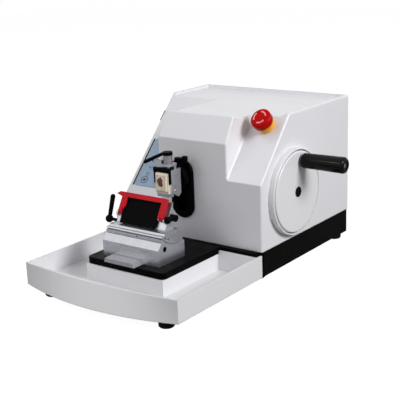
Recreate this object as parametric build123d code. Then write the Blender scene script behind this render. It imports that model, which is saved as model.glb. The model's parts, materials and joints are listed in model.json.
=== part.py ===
from build123d import *
import math
import os

os.makedirs("parts", exist_ok=True)

# Lengths in mm. X 0 is the housing's right face, Y 0 its front face, Z 0 the top of the base.
# The operator stands at -Y. The handwheel is on the right.

# Housing
body_width = 355.0
housing_depth = 331.0
housing_wall = 4.0
edge_radius = 3.0
brow_drop = 46.0
brow_depth = 26.0
middle_left = 56.9
left_bay_sill = 25.3
left_bay_angle = 46.5
right_bay_width = 74.6
right_bay_rise = 114.4
right_bay_angle = 48.8
top_recess = 6.0
rim_width = 8.0

# Base and feet
base_height = 48.0
base_wall = 7.0
ledge_depth = 12.0
ledge_side = 7.0
neck_width = 172.0
neck_reach = 172.0
bottom_sheet = 2.0
foot_height = 14.0
foot_radius = 14.0
foot_inset = 30.0
rear_foot_inset = 21.0
seat_gap = 0.3

# Arm, crank and shaft
centre_x = -body_width / 2
slot_centre_z = 99.5
arm_radius = 17.0
arm_length = 110.0
slot_gap = 2.5
bezel_band = 7.0
bezel_end_band = 12.5
bezel_liner = 1.0
bezel_proud = 6.0
crank_radius = 26.0
crank_angle = 13.6
shaft_y = 106.5
shaft_z = 92.0
shaft_radius = 10.0
running_gap = 0.05

# Handwheel and grip
wheel_radius = 78.0
wheel_thickness = 11.5
wheel_gap = 2.0
ring_band = 3.5
ring_height = 12.0
hub_radius = 10.0
grip_circle = 60.0
grip_radius = 15.5
grip_gap = 4.0
grip_length = 89.0
grip_axle_radius = 4.0

# Bearings, belt and drive motor
bearing_radius = 21.0
bearing_width = 12.0
outer_bearing_x = -30.0
bearing_clearance = 11.5
belt_offset = 4.0
belt_width = 12.0
belt_thickness = 2.0
shaft_pulley_radius = 34.0
motor_pulley_radius = 12.0
motor_y = 222.0
motor_z = 60.0
motor_radius = 38.0
motor_length = 105.0
motor_standoff = 18.0
bracket_sheet = 6.0

# Vertical slide
rail_radius = 6.0
rail_spread = 38.0
rail_y = 45.0
post_radius = 8.0
post_y = 160.0
frame_foot = 12.0
frame_top_z = 196.0
frame_top_thickness = 10.0
frame_side = 12.0
frame_clearance = 35.0
carriage_front = 26.0
carriage_rear = 130.0
carriage_half = 26.0
shutter_y = 12.0
shutter_thickness = 2.0
yoke_thickness = 5.0
roller_radius = 8.0
disc_thickness = 10.0
disc_gap = 8.5
disc_radius = 40.0
stepper_size = 42.0
stepper_length = 34.0
screw_radius = 5.0

# Specimen head
head_front = -12.0
socket_radius = 23.0
socket_depth = 11.0
pivot_y = -31.0
lug_radius = 4.5
trunnion_radius = 3.0
block_half = 13.0
cheek_inner = 13.6
cheek_outer = 17.6
cheek_rear = -28.0
clamp_front = -56.0
clamp_plate = 6.0
clamp_low = 94.0
clamp_high = 148.0
cheek_front_low = 107.0
cheek_rear_low = 100.0
cheek_point_y = -35.4
upright_rear = -40.0
arch_low = 155.6
arch_high = 160.0
arch_front = -62.0
cassette_width = 28.5
cassette_height = 40.0
cassette_depth = 6.6
cassette_z = 123.0
ledge_reach = 4.5
wax_depth = 4.0
jaw_height = 9.0
jaw_left = 20.5
jaw_right = 17.4
jaw_leg = 21.0
clamp_screw_x = 9.5
clamp_screw_y = -54.0
clamp_hub_radius = 8.5
clamp_hub_high = 180.5
clamp_handle_reach = 55.0
clamp_handle_drop = 22.0
support_half = 7.0
support_front = -34.0
support_low = 147.0
support_high = 156.0
lock_x = 5.5
lock_y = -20.0
lock_z = 160.0
lock_reach = 16.5
lock_knob = 8.5

# Knife side
plate_thickness = 12.0
plate_width = 182.0
plate_front = -181.0
plate_corner = 10.0
rail_offset = -7.0
rail_width = 71.0
rail_height = 8.0
rail_front = -186.0
rail_rear = -66.0
rail_flare = 3.0
holder_width = 131.0
holder_front = -161.5
holder_rear = -86.0
holder_face = 31.0
holder_top_y = -151.5
holder_top_z = 42.5
strip_groove = 1.2
strip_top_z = 48.8
tilt_y = -100.5
tilt_z = 98.0
cradle_radius = 68.0
segment_front = -149.6
segment_rear = -90.0
bolt_y = -142.5
bolt_z = 29.0
bolt_radius = 5.0
edge_y = -98.8
edge_z = 105.0
blade_angle = 60.0
blade_length = 80.0
blade_width = 8.0
blade_thickness = 0.25
clamp_offset = -7.5
plate_length = 82.0
plate_reach = 56.0
pin_s = 38.0
pin_n = 3.2
pin_radius = 1.5
ear_radius = 2.8
ear_width = 7.0
guard_leg = 13.0
guard_tab = 14.4
guard_left = 49.0
guard_right = 57.5
guard_bar = 8.0
guard_relief = 12.0
guard_lift = 6.8
guard_thickness = 3.0
lug_width = 3.5
left_lever_y = -119.6
left_lever_z = 57.6
left_lever_reach = 24.0
left_lever_lean = 13.4
left_lever_rise = 39.8
right_lever_y = -106.0
right_lever_z = 77.0
right_lever_reach = 20.0
right_knob_radius = 6.8
lever_shaft_radius = 3.0

# Waste tray
tray_wall = 4.0
tray_drop = 6.0
tray_front = -252.0
tray_bow_low = 30.0
tray_bow_high = 12.0
tray_rear = -13.0
tray_foot_left = 55.0
tray_foot_right = 33.0

# Controls
panel_width = 96.0
panel_length = 112.0
panel_thickness = 2.5
panel_left = 14.5
panel_low_y = 46.0
rocker_length = 20.0
rocker_width = 13.0
rocker_high = 7.0
rocker_y = 165.0
rocker_drop = 11.0
estop_x = -37.0
estop_y = 80.0
estop_head_radius = 20.0
estop_collar_radius = 17.0
estop_collar_height = 10.0
estop_head_height = 18.0
estop_gap = 4.0
rear_panel_width = 172.0
rear_panel_height = 90.0
rear_panel_thickness = 2.0
inlet_proud = 3.0
inlet_left = 71.0
inlet_width = 48.0
supply_length = 110.0
supply_depth = 56.0
supply_height = 38.0
board_depth = 84.0
board_y = 106.0

# Worked out from the sizes above
floor_z = -base_height - foot_height
housing_height = frame_top_z + frame_top_thickness + frame_clearance
brow_height = housing_height - brow_drop
right_bay_sill = housing_height - right_bay_rise
arm_rise = crank_radius * math.cos(math.radians(crank_angle))
arm_z = slot_centre_z + arm_rise
yoke_z = shaft_z + arm_rise
crank_y = shaft_y + crank_radius * math.sin(math.radians(crank_angle))
slot_width = 2 * (arm_radius + slot_gap)
slot_height = slot_width + 2 * crank_radius
bezel_width = slot_width + 2 * bezel_band
bezel_height = slot_height + 2 * bezel_end_band
left_slope = math.tan(math.radians(left_bay_angle))
right_slope = math.tan(math.radians(right_bay_angle))
left_bay_x = centre_x - middle_left
grip_y = shaft_y + grip_circle * math.sin(math.radians(crank_angle))
grip_z = shaft_z + grip_circle * math.cos(math.radians(crank_angle))
wheel_face = wheel_gap + wheel_thickness
grip_start = wheel_face + grip_gap
grip_end = grip_start + grip_length
clamp_x = centre_x + clamp_offset
slide_left = clamp_x - guard_left - lug_width - 0.5
slide_right = clamp_x + guard_right + lug_width + 0.5
left_lever_x = slide_left - left_lever_reach
right_lever_x = slide_right + 0.4 + right_knob_radius
disc_x = centre_x + carriage_half + yoke_thickness + disc_gap
bearing_half = bearing_width / 2
frame_half = rail_spread + frame_side
inner_bearing_x = centre_x + frame_half + bearing_clearance + bearing_half
belt_x = (inner_bearing_x + outer_bearing_x) / 2 + belt_offset
motor_face = belt_x - belt_width / 2 - motor_standoff
row_x = (grip_end - body_width) / 2
row_y = (housing_depth + rear_panel_thickness + inlet_proud + tray_front - tray_bow_low) / 2


def block(x0, x1, y0, y1, z0, z1):
    return Pos((x0 + x1) / 2, (y0 + y1) / 2, (z0 + z1) / 2) * Box(x1 - x0, y1 - y0, z1 - z0)


def rod_x(y, z, radius, x0, x1):
    return Pos((x0 + x1) / 2, y, z) * Rot(0, 90, 0) * Cylinder(radius, x1 - x0)


def rod_y(x, z, radius, y0, y1):
    return Pos(x, (y0 + y1) / 2, z) * Rot(90, 0, 0) * Cylinder(radius, y1 - y0)


def rod_z(x, y, radius, z0, z1):
    return Pos(x, y, (z0 + z1) / 2) * Cylinder(radius, z1 - z0)


def side_profile(points, x0, x1):
    """A prism along X from an outline of (Y, Z) points."""
    outline = Plane.YZ * make_face(Polyline(*points, close=True))
    return Pos(x0, 0, 0) * extrude(outline, x1 - x0)


def rounded(shape, radius, axis):
    return fillet(shape.edges().filter_by(axis), radius)


def save(name, *shapes):
    placed = [Pos(-row_x, -row_y, -floor_z) * shape for shape in shapes]
    export_step(placed[0] if len(placed) == 1 else Compound(children=placed), f"parts/{name}.step")


# Housing: one moulded shell with a bay each side of the raised middle
def above_line(x0, x1, sill, slope, inset):
    drop = inset * math.hypot(1, slope)
    start, stop = -60.0, 500.0
    low = sill - drop + slope * start
    high = sill - drop + slope * stop
    return side_profile([(start, low), (stop, high), (stop, high + 400), (start, high + 400)], x0, x1)


def housing_form(inset):
    top = housing_height - (inset + top_recess if inset else 0)
    form = block(-body_width + inset, -inset, inset, housing_depth - inset, -inset, top)
    brow_slope = (housing_height - brow_height) / brow_depth
    form -= above_line(-body_width - 10, 10, brow_height, brow_slope, inset)
    form -= above_line(-body_width - 10, left_bay_x + inset, left_bay_sill, left_slope, inset)
    form -= above_line(-right_bay_width - inset, 10, right_bay_sill, right_slope, inset)
    return form


def stadium(width, height, y0, y1, z=slot_centre_z):
    outline = Plane(origin=(centre_x, y1, z), x_dir=(1, 0, 0), z_dir=(0, -1, 0))
    return extrude(outline * Rot(0, 0, 90) * SlotOverall(height, width), y1 - y0)


def slope_frame(x, y, sill, slope):
    """A plane on a bay's sloping floor, its own Y up the slope."""
    angle = math.atan(slope)
    normal = (0, -math.sin(angle), math.cos(angle))
    return Plane(origin=(x, y, sill + slope * y), x_dir=(1, 0, 0), z_dir=normal)


panel_y = panel_low_y + panel_length / 2 * math.cos(math.radians(left_bay_angle))
panel_x = -body_width + panel_left + panel_width / 2
panel_frame = slope_frame(panel_x, panel_y, left_bay_sill, left_slope)
left_normal = slope_frame(0, 0, left_bay_sill, left_slope).z_dir
rocker_spot = Vector(-body_width, rocker_y, left_bay_sill + left_slope * rocker_y) - left_normal * rocker_drop
rocker_frame = Plane(origin=rocker_spot, x_dir=left_normal, z_dir=(-1, 0, 0))
estop_frame = slope_frame(estop_x, estop_y, right_bay_sill, right_slope)


def housing_cover():
    outer = housing_form(0)
    tall = outer.edges().filter_by(lambda e: e.bounding_box().max.Z > 0.5)
    outer = fillet(tall, edge_radius)
    well_floor = housing_height - top_recess
    outer -= block(-body_width + rim_width, -rim_width, brow_depth + rim_width, housing_depth - rim_width,
                   well_floor, housing_height + 20)
    shell = outer - housing_form(housing_wall)
    shell -= stadium(slot_width, slot_height, -10, housing_wall + 2)
    shell -= rod_x(shaft_y, shaft_z, shaft_radius + 4, -20, 10)
    shell -= estop_frame * Cylinder(11.3, 60)
    shell -= rocker_frame * Box(rocker_width + 1, rocker_length + 1, 30)
    shell -= block(centre_x - rear_panel_width / 2 + 12, centre_x + rear_panel_width / 2 - 12,
                   housing_depth - 20, housing_depth + 5, 22, rear_panel_height - 2)
    for x, z in panel_screw_places():
        shell -= rod_y(x, z, 1.6, housing_depth - 20, housing_depth + 5)
    return shell


def panel_screw_places():
    half = rear_panel_width / 2 - 7
    return [(centre_x + dx, z) for dx in (-half, half) for z in (17, 3 + rear_panel_height)]


# Base: a hollow casting with ribs and a neck that carries the knife plate
def base_casting():
    body = block(-body_width, 0, 0, housing_depth, -base_height, 0)
    body = rounded(body, 8, Axis.Z)
    body += block(-body_width + ledge_side, -ledge_side, -ledge_depth, 20, -base_height, 0)
    neck_half = neck_width / 2
    neck = block(centre_x - neck_half, centre_x + neck_half, -neck_reach, 0,
                 -base_height, -plate_thickness)
    hollow = block(-body_width + base_wall, -base_wall, base_wall, housing_depth - base_wall,
                   -base_height - 1, -base_wall)
    neck_hollow = block(centre_x - neck_half + base_wall, centre_x + neck_half - base_wall,
                        -neck_reach + base_wall, base_wall + 1, -base_height - 1,
                        -plate_thickness - base_wall)
    casting = body + neck - hollow - neck_hollow
    rib_depth = base_height - base_wall
    for rib_y in (housing_depth / 3, 2 * housing_depth / 3):
        casting += block(-body_width + 2, -2, rib_y - 3, rib_y + 3, -rib_depth, -2)
    for side in (-1, 1):
        rib_x = centre_x + side * 52
        casting += block(rib_x - 3, rib_x + 3, -neck_reach + 2, housing_depth - 2, -rib_depth, -base_wall - 8)
    casting -= block(centre_x - bezel_width / 2 - 8, centre_x + bezel_width / 2 + 8, shutter_y - 2,
                     shutter_y + shutter_thickness + 2, -base_wall - 9, 1)
    for x, y in foot_places():
        roof = -base_wall if y > 0 else -plate_thickness - base_wall
        casting += rod_z(x, y, foot_radius - 2, -base_height, roof + 1)
    return casting


def foot_places():
    side = foot_inset
    edge = rear_foot_inset
    rear = housing_depth - edge
    neck = neck_width / 2 - foot_inset
    places = [(-body_width + edge, rear), (-edge, rear), (-body_width + side, side), (-side, side)]
    return places + [(centre_x - neck, -neck_reach + side), (centre_x + neck, -neck_reach + side)]


def foot(x, y, top):
    pad = rod_z(x, y, foot_radius, floor_z, top)
    pad = chamfer(pad.edges().group_by(Axis.Z)[0], 2)
    return pad


def bottom_plate():
    inner = base_wall + 0.5
    sheet = block(-body_width + inner, -inner, inner, housing_depth - inner,
                  -base_height, -base_height + bottom_sheet)
    neck_half = neck_width / 2 - inner
    sheet += block(centre_x - neck_half, centre_x + neck_half, -neck_reach + inner, inner + 5,
                   -base_height, -base_height + bottom_sheet)
    for x, y in foot_places():
        sheet -= rod_z(x, y, foot_radius - 1.5, -base_height - 1, -base_height + 5)
    return sheet


def knife_plate():
    half = plate_width / 2
    plate = block(centre_x - half, centre_x + half, plate_front, -ledge_depth - seat_gap,
                  -plate_thickness, 0)
    front = plate.edges().filter_by(Axis.Z).group_by(Axis.Y)[0]
    plate = fillet(front, plate_corner)
    return fillet(plate.faces().sort_by(Axis.Z)[-1].edges().group_by(Axis.Y)[0], 1.5)


# Waste tray: a U-shaped trough that wraps the neck and pulls off forward
def bowed_outline(z, bow, inset):
    left, right = -body_width + inset, -inset
    front = tray_front + inset
    back = -seat_gap if not inset else tray_rear - tray_wall
    edge = Polyline((right, front), (right, back), (left, back), (left, front))
    arc = ThreePointArc((left, front), (centre_x, front - bow), (right, front))
    return Pos(0, 0, z) * make_face([*edge.edges(), arc])


def waste_tray():
    top, low = -tray_drop, -base_height
    outer = loft([bowed_outline(low, tray_bow_low, 0), bowed_outline(top, tray_bow_high, 0)])
    slant = (tray_bow_low - tray_bow_high) / (top - low)
    floor = low + tray_wall
    inner = loft([bowed_outline(floor, tray_bow_low - slant * tray_wall, tray_wall),
                  bowed_outline(top + 1, tray_bow_high - slant, tray_wall)])
    neck_half = neck_width / 2 + 0.5
    wall_half = neck_half + tray_wall
    throat_front = -neck_reach - 7
    island = block(centre_x - wall_half, centre_x + wall_half, throat_front - tray_wall, 20,
                   low, -plate_thickness - 0.5)
    throat = block(centre_x - neck_half, centre_x + neck_half, throat_front, 20, low - 1, 1)
    behind = block(-body_width + tray_wall, -tray_wall, tray_rear, 20, low - 1, 1)
    under_plate = block(centre_x - plate_width / 2 - 1, centre_x + plate_width / 2 + 1, plate_front - 3, 20,
                        -plate_thickness - 0.5, 1)
    return outer - inner + island - throat - behind - under_plate


def tray_feet():
    y = tray_front + 10
    return [foot(x, y, -base_height) for x in (-body_width + tray_foot_left, -tray_foot_right)]


# Slot bezel and the shutter that follows the arm behind it
def slot_bezel():
    ring = stadium(bezel_width, bezel_height, -bezel_proud, 0)
    ring = fillet(ring.edges().group_by(Axis.Y)[0], 4)
    ring += stadium(slot_width - 0.4, slot_height - 0.4, -1, housing_wall)
    return ring - stadium(slot_width - 2 * bezel_liner, slot_height - 2 * bezel_liner, -20, 20)


def slot_shutter():
    half = bezel_width / 2 + 4
    low = slot_centre_z - slot_height / 2 - 2
    high = slot_centre_z + slot_height / 2 + arm_rise + crank_radius + 2
    plate = block(centre_x - half, centre_x + half, shutter_y, shutter_y + shutter_thickness, low, high)
    return plate - rod_y(centre_x, arm_z, arm_radius + 1, 0, 60)


# Vertical slide: carriage on two rails, moved by a crank in a level yoke
def mechanism_frame():
    half = frame_half
    front, rear = rail_y - 12, post_y + 12
    frame = block(centre_x - half - 6, centre_x + half, front - 10, rear, 0, frame_foot)
    frame += block(centre_x - half, centre_x + half, front, rear, frame_top_z,
                   frame_top_z + frame_top_thickness)
    for side in (-1, 1):
        x = centre_x + side * rail_spread
        frame += rod_z(x, post_y, post_radius, frame_foot - 1, frame_top_z + 1)
        frame -= rod_z(x, rail_y, rail_radius, frame_foot - 6, frame_top_z + 20)
    return frame - block(centre_x - 26, centre_x + 26, rail_y + 12, post_y - 14, frame_top_z - 5,
                         frame_top_z + 20)


def guide_rails():
    return [rod_z(centre_x + side * rail_spread, rail_y, rail_radius, frame_foot - 6,
                  frame_top_z + frame_top_thickness) for side in (-1, 1)]


def carriage():
    half = carriage_half
    body = block(centre_x - half, centre_x + half, carriage_front, carriage_rear,
                 arm_z - half, arm_z + half)
    body = rounded(body, 6, Axis.Y)
    body += rod_y(centre_x, arm_z, arm_radius + 6, shutter_y + shutter_thickness, carriage_front + 1)
    for side in (-1, 1):
        x = centre_x + side * rail_spread
        ear = rod_z(x, rail_y, rail_radius + 5.5, arm_z - half, arm_z + half)
        body += ear + block(min(x, centre_x + side * 20), max(x, centre_x + side * 20),
                            rail_y - 8, rail_y + 8, arm_z - half, arm_z + half)
    side_x = centre_x + half
    yoke_half = crank_radius + roller_radius + 6
    yoke = block(side_x - 2, side_x + yoke_thickness, shaft_y - yoke_half, shaft_y + yoke_half,
                 yoke_z - roller_radius - 6, yoke_z + roller_radius + 6)
    groove = block(side_x + 0.5, side_x + 20, shaft_y - yoke_half + 5, shaft_y + yoke_half - 5,
                   yoke_z - roller_radius - 0.1, yoke_z + roller_radius + 0.1)
    body += yoke
    body -= groove
    for side in (-1, 1):
        body -= rod_z(centre_x + side * rail_spread, rail_y, rail_radius + running_gap, 0, 300)
    body -= rod_y(centre_x, arm_z, arm_radius + running_gap, -20, carriage_rear - 12)
    return body - rod_y(centre_x, arm_z, screw_radius + running_gap, 0, 300)


def feed_motor():
    size = stepper_size / 2
    start = carriage_rear
    body = block(centre_x - size, centre_x + size, start, start + stepper_length,
                 arm_z - size, arm_z + size)
    body = rounded(body, 4, Axis.Y)
    return body - rod_y(centre_x, arm_z, screw_radius + 1, start - 1, start + 22)


def feed_screw():
    tip = head_front + 60
    thread = rod_y(centre_x, arm_z, screw_radius, tip, carriage_rear + 20)
    return thread + rod_y(centre_x, arm_z, screw_radius + 3, carriage_rear - 13.5, carriage_rear - 12.5)


def arm():
    rear = head_front + arm_length
    shaft = rod_y(centre_x, arm_z, arm_radius, head_front, rear)
    shaft -= rod_y(centre_x, arm_z, screw_radius + 2, 10, rear + 1)
    nut = rod_y(centre_x, arm_z, screw_radius + 3, rear - 16, rear)
    return shaft + nut - rod_y(centre_x, arm_z, screw_radius + running_gap, rear - 20, rear + 1)


# Crank drive: handwheel, shaft, crank disc, belt and motor
def main_shaft():
    shaft = rod_x(shaft_y, shaft_z, shaft_radius, disc_x + disc_thickness, wheel_face - 3)
    pulley = rod_x(shaft_y, shaft_z, shaft_pulley_radius, belt_x - belt_width / 2, belt_x + belt_width / 2)
    for side in (-1, 1):
        x = belt_x + side * (belt_width / 2 + 1)
        pulley += rod_x(shaft_y, shaft_z, shaft_pulley_radius + 3, x - 1, x + 1)
    for turn in range(6):
        spoke = Pos(belt_x, shaft_y, shaft_z) * Rot(60 * turn, 0, 0)
        pulley -= spoke * Pos(0, 0, 22) * Rot(0, 90, 0) * Cylinder(6.5, belt_width * 3)
    return shaft + pulley


def crank_disc():
    disc = rod_x(shaft_y, shaft_z, disc_radius, disc_x, disc_x + disc_thickness)
    weight = Rot(-crank_angle, 0, 0) * block(-1, disc_thickness + 8, -disc_radius, disc_radius,
                                             -disc_radius, -14)
    weight &= Rot(0, 90, 0) * Cylinder(disc_radius, 60)
    disc += Pos(disc_x + 1, shaft_y, shaft_z) * weight
    disc -= rod_x(shaft_y, shaft_z, shaft_radius, disc_x + disc_thickness, disc_x + 60)
    pin = rod_x(crank_y, yoke_z, 4, disc_x - 7.5, disc_x + 1)
    return disc + pin


def crank_roller():
    ring = rod_x(crank_y, yoke_z, roller_radius, disc_x - 8, disc_x - 0.5)
    return ring - rod_x(crank_y, yoke_z, 4 + running_gap, disc_x - 20, disc_x + 20)


def drive_bracket():
    half = bearing_radius + 9
    low_y, high_y = shaft_y - half, shaft_y + half
    bracket = block(inner_bearing_x - bearing_half, outer_bearing_x + bearing_half, low_y, high_y, 0, 10)
    for x in (inner_bearing_x, outer_bearing_x):
        wall = block(x - bearing_half, x + bearing_half, low_y, high_y, 0, shaft_z)
        wall += rod_x(shaft_y, shaft_z, half, x - bearing_half, x + bearing_half)
        wall -= rod_x(shaft_y, shaft_z, bearing_radius, x - bearing_half, x + bearing_half)
        bracket += wall
    motor_edge = motor_y + motor_radius + 6
    mount = block(motor_face, motor_face + bracket_sheet, motor_y - motor_radius - 6, motor_edge, 0,
                  motor_z + motor_radius + 2)
    mount -= rod_x(motor_y, motor_z, 12, motor_face - 10, motor_face + 20)
    foot_bar = block(motor_face, outer_bearing_x + bearing_half, high_y - 1, motor_edge, 0, 8)
    return bracket + mount + foot_bar


def shaft_bearings():
    rings = []
    for x in (inner_bearing_x, outer_bearing_x):
        ring = rod_x(shaft_y, shaft_z, bearing_radius, x - bearing_half, x + bearing_half)
        rings.append(ring - rod_x(shaft_y, shaft_z, shaft_radius + running_gap, x - 10, x + 10))
    return rings


def drive_motor():
    body = rod_x(motor_y, motor_z, motor_radius, motor_face - motor_length, motor_face)
    body = chamfer(body.edges().group_by(Axis.X)[0], 5)
    return body - rod_x(motor_y, motor_z, 7, motor_face - 40, motor_face + 1)


def motor_pulley():
    wheel = rod_x(motor_y, motor_z, motor_pulley_radius, belt_x - belt_width / 2, belt_x + belt_width / 2)
    for side in (-1, 1):
        x = belt_x + side * (belt_width / 2 + 1)
        wheel += rod_x(motor_y, motor_z, motor_pulley_radius + 3, x - 1, x + 1)
    return wheel + rod_x(motor_y, motor_z, 6, motor_face - 35, belt_x)


def drive_belt():
    """The open belt: the outer tangent loop round both pulleys, less the inner one."""
    def loop(grow):
        big = shaft_pulley_radius + 0.3 + grow
        small = motor_pulley_radius + 0.3 + grow
        dy, dz = motor_y - shaft_y, motor_z - shaft_z
        span = math.hypot(dy, dz)
        lean = math.atan2(dz, dy)
        wrap = math.acos((big - small) / span)
        corners = []
        for y, z, radius in ((shaft_y, shaft_z, big), (motor_y, motor_z, small)):
            for turn in (lean + wrap, lean - wrap):
                corners.append((y + radius * math.cos(turn), z + radius * math.sin(turn)))
        top_a, low_a, top_b, low_b = corners
        straight = side_profile([top_a, top_b, low_b, low_a], x0, x1)
        return straight + rod_x(shaft_y, shaft_z, big, x0, x1) + rod_x(motor_y, motor_z, small, x0, x1)
    x0, x1 = belt_x - belt_width / 2 + 0.3, belt_x + belt_width / 2 - 0.3
    return loop(belt_thickness) - loop(0)


def handwheel():
    wheel = rod_x(shaft_y, shaft_z, wheel_radius, wheel_gap, wheel_face)
    wheel = fillet(wheel.edges(), 3)
    back = rod_x(shaft_y, shaft_z, wheel_radius - 12, wheel_gap - 1, wheel_gap + 5)
    back -= rod_x(shaft_y, shaft_z, 24, wheel_gap - 2, wheel_gap + 6)
    wheel -= back
    wheel -= rod_x(shaft_y, shaft_z, shaft_radius, -5, wheel_face - 3)
    wheel -= rod_x(shaft_y, shaft_z, hub_radius, wheel_face - 3, wheel_face + 2)
    return wheel - rod_x(grip_y, grip_z, grip_axle_radius, wheel_gap - 2, wheel_face + 2)


def hub_cap():
    cap = rod_x(shaft_y, shaft_z, hub_radius, wheel_face - 3, wheel_face + 1.5)
    cap = fillet(cap.edges().group_by(Axis.X)[-1], 1)
    return cap - rod_x(shaft_y, shaft_z, 4, wheel_face, wheel_face + 3)


def wheel_ring():
    inner = wheel_radius + wheel_gap
    ring = rod_x(shaft_y, shaft_z, inner + ring_band, 0, ring_height)
    ring = fillet(ring.edges().group_by(Axis.X)[-1], 2)
    return ring - rod_x(shaft_y, shaft_z, inner, -1, ring_height + 1)


def grip_axle():
    axle = rod_x(grip_y, grip_z, grip_axle_radius, wheel_gap + 6, grip_end - 6)
    return axle + rod_x(grip_y, grip_z, grip_axle_radius + 3, grip_end - 6, grip_end - 3)


def grip():
    outline = Plane.XY * make_face(Polyline((grip_start, 0), (grip_start, grip_radius - 1.2),
                                            (grip_end, grip_radius), (grip_end, 0), close=True))
    handle = revolve(outline, Axis.X)
    handle = fillet(handle.edges().group_by(Axis.X)[-1], 6)
    handle = fillet(handle.edges().group_by(Axis.X)[0].sort_by(SortBy.RADIUS)[-1], 3)
    handle = Pos(0, grip_y, grip_z) * handle
    handle -= rod_x(grip_y, grip_z, grip_axle_radius + running_gap, 0, grip_end + 5)
    return handle - rod_x(grip_y, grip_z, grip_axle_radius + 3.3, grip_end - 6.3, grip_end + 5)


# Specimen head: socket, cross block with trunnions, cassette clamp
def head_socket():
    rear = head_front
    front = rear - socket_depth
    socket = rod_y(centre_x, arm_z, socket_radius, front, rear)
    socket = fillet(socket.edges().group_by(Axis.Y)[0], 2)
    for side in (-1, 1):
        z0 = arm_z + side * (block_half + 0.5)
        z1 = arm_z + side * (block_half + 7)
        low, high = min(z0, z1), max(z0, z1)
        lug = rod_z(centre_x, pivot_y, lug_radius, low, high)
        lug += block(centre_x - lug_radius, centre_x + lug_radius, pivot_y, front + 1, low, high)
        socket += lug
    support = block(centre_x - support_half, centre_x + lock_x + 6, support_front, rear, support_low, support_high)
    socket += chamfer(support.edges().filter_by(Axis.X).group_by(Axis.Y)[0], 2)
    socket += rod_z(centre_x + lock_x, lock_y, 4, support_high - 2, lock_z + 2)
    return socket - rod_z(centre_x, pivot_y, trunnion_radius + running_gap, 0, support_low - 1)


def gimbal_block():
    half = block_half
    body = block(centre_x - half, centre_x + half, pivot_y - 4, pivot_y + 4, arm_z - half, arm_z + half)
    body = chamfer(body.edges().filter_by(Axis.Y), 3)
    body += rod_z(centre_x, pivot_y, trunnion_radius, arm_z - half - 7, arm_z + half + 7)
    return body + rod_x(pivot_y, arm_z, trunnion_radius, centre_x - cheek_outer - 0.6, centre_x + cheek_outer + 0.6)


def clamp_body():
    plate_rear = clamp_front + clamp_plate
    ledge_low = cassette_z - cassette_height / 2 - 6
    body = block(centre_x - cheek_outer + 1, centre_x + cheek_outer - 1, clamp_front, plate_rear,
                 ledge_low, clamp_high)
    cheek = [(clamp_front, cheek_front_low), (cheek_point_y, clamp_low), (cheek_rear, cheek_rear_low),
             (cheek_rear, clamp_high), (clamp_front, clamp_high)]
    for x0 in (centre_x - cheek_outer, centre_x + cheek_inner):
        body += side_profile(cheek, x0, x0 + cheek_outer - cheek_inner)
    body += block(centre_x - 14, centre_x + 14, clamp_front - ledge_reach, clamp_front + 1, ledge_low, ledge_low + 5.9)
    upright = block(centre_x - cheek_outer, centre_x + cheek_outer, upright_rear - 6, upright_rear,
                    clamp_high - 8, arch_high)
    body += upright + block(centre_x - cheek_outer + 1, centre_x + cheek_outer + 1, arch_front, upright_rear,
                            arch_low, arch_high)
    body += block(centre_x - 14.5, centre_x + 0.3, arch_front, upright_rear, arch_high - 1, arch_high + 7)
    body -= rod_x(pivot_y, arm_z, trunnion_radius + running_gap, centre_x - 60, centre_x + 60)
    body -= rod_z(centre_x + clamp_screw_x, clamp_screw_y, 3 + running_gap, arch_low - 1, arch_high + 1)
    slot = Plane(origin=(centre_x + cheek_outer, clamp_front + 8.7, 113), x_dir=(0, 1, 0), z_dir=(1, 0, 0))
    return body - extrude(slot * Rot(0, 0, 90) * SlotOverall(11, 6), -2)


def cassette():
    low = cassette_z - cassette_height / 2
    half = cassette_width / 2
    front = clamp_front - cassette_depth
    tray = block(centre_x - half, centre_x + half, front, front + cassette_depth, low, low + cassette_height)
    tray = rounded(tray, 1.5, Axis.Y)
    return tray - block(centre_x - half + 2, centre_x + half - 2, front - 1, front + 2, low + 6,
                        low + cassette_height - 2)


def wax_block():
    low = cassette_z - cassette_height / 2
    front = clamp_front - cassette_depth
    half = cassette_width / 2 - 2
    wax = block(centre_x - half, centre_x + half, front - wax_depth, front + 2, low + 6,
                low + cassette_height - 2)
    return fillet(wax.edges().group_by(Axis.Y)[0], 1.2)


def clamp_jaw():
    """The upper jaw, with a leg down each side of the cassette."""
    low = cassette_z + cassette_height / 2 + 0.1
    front, rear = clamp_front - 6, clamp_front - 0.3
    jaw = block(centre_x - jaw_left, centre_x + jaw_right, front, rear, low, low + jaw_height)
    jaw = chamfer(jaw.edges().filter_by(Axis.X).group_by(Axis.Y)[0], 1.5)
    side = cassette_width / 2 + 0.4
    jaw += block(centre_x - jaw_left, centre_x - side, front + 1.5, rear, low - jaw_leg, low + 1)
    jaw += block(centre_x + side, centre_x + jaw_right, front + 1.5, rear, low - jaw_leg, low + 1)
    screw_x = centre_x + clamp_screw_x
    jaw += rod_z(screw_x, clamp_screw_y, 5.5, clamp_high + seat_gap, low + jaw_height)
    return jaw - rod_z(screw_x, clamp_screw_y, 3.4, low + jaw_height - 5, low + jaw_height + 5)


def clamp_screw():
    screw_x = centre_x + clamp_screw_x
    low = cassette_z + cassette_height / 2 + jaw_height
    screw = rod_z(screw_x, clamp_screw_y, 3, low - 1, arch_high + 2)
    hub = rod_z(screw_x, clamp_screw_y, clamp_hub_radius, arch_high + seat_gap, clamp_hub_high)
    hub = chamfer(hub.edges().group_by(Axis.Z)[-1], 1.2)
    return screw + hub


def taper_bar(start, stop, r0, r1):
    """A round bar that widens or narrows between two points, with a domed end."""
    a, b = Vector(*start), Vector(*stop)
    length = (b - a).length
    plane = Plane(origin=a, z_dir=(b - a))
    bar = plane * Pos(0, 0, length / 2) * Cone(r0, r1, length)
    return bar + Pos(*stop) * Sphere(r1)


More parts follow.
